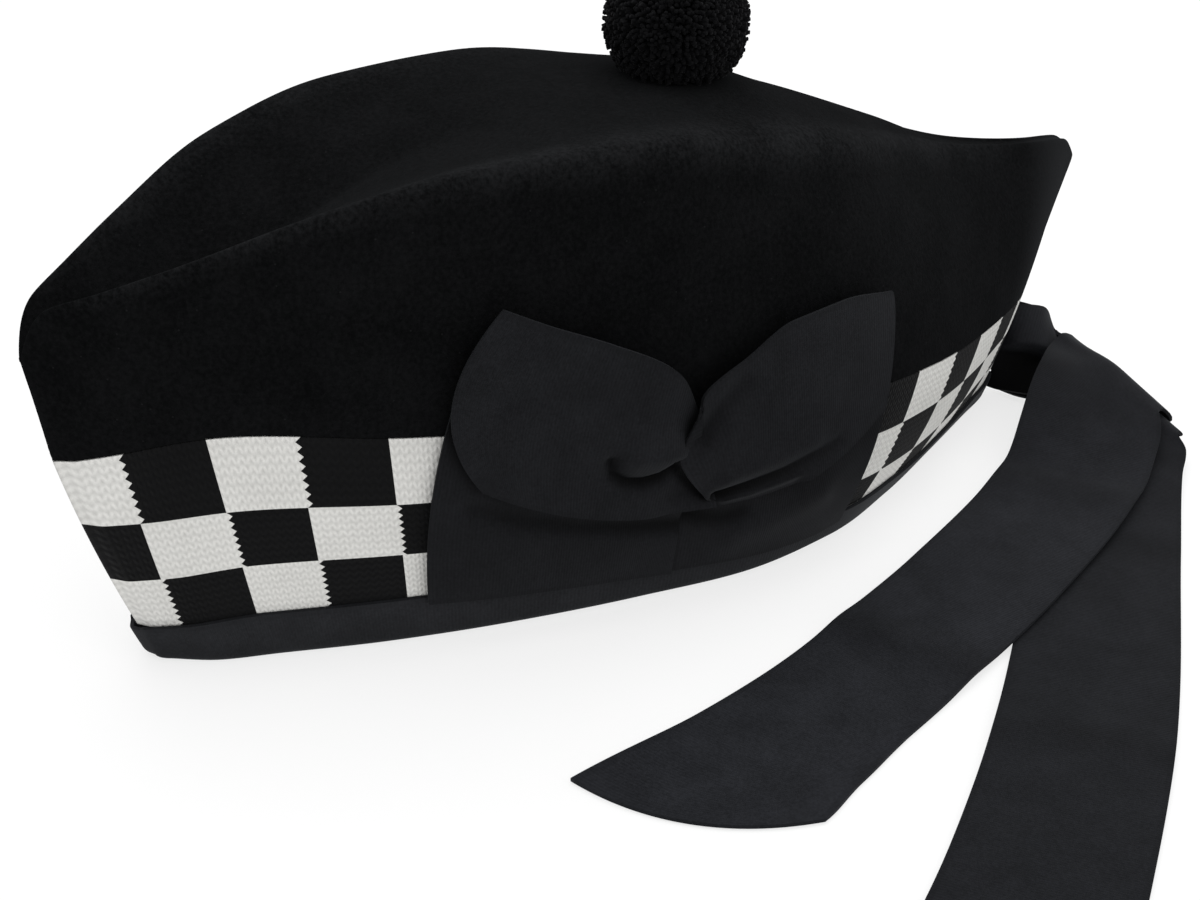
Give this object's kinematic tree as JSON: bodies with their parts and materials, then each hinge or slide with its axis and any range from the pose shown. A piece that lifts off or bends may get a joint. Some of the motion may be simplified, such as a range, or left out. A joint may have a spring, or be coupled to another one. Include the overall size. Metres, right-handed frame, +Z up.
{
  "type": "glengarry cap",
  "caption": "Boat-shaped wool cap with a folded crown, a diced knitted band, a ribbon-bound rim, a ribbon rosette, a tufted toorie and trailing ribbon tails.",
  "frame": {"origin": "middle of the head opening, at the level of the rim and the surface it lies on", "axes": "+Z up from the rim to the crown, -Y towards the front of the cap, +X towards the wearer's left, where the rosette is"},
  "size_m": [0.2662, 0.3147, 0.1492],
  "materials": {
    "wool": "felted black wool",
    "diced_knit": "knitted wool in black and white checks, three rows high",
    "ribbon": "black corded ribbon, soft sheen",
    "yarn": "black wool yarn tufts"
  },
  "bodies": {
    "root": {"wool_body": "wool", "diced_band": "diced_knit", "rim_binding": "ribbon", "rosette_lower_left": "ribbon", "rosette_lower_right": "ribbon", "rosette_upper_left": "ribbon", "rosette_upper_right": "ribbon", "toorie": "yarn", "tail_upper": "ribbon", "tail_lower": "ribbon"}
  },
  "joints": []
}
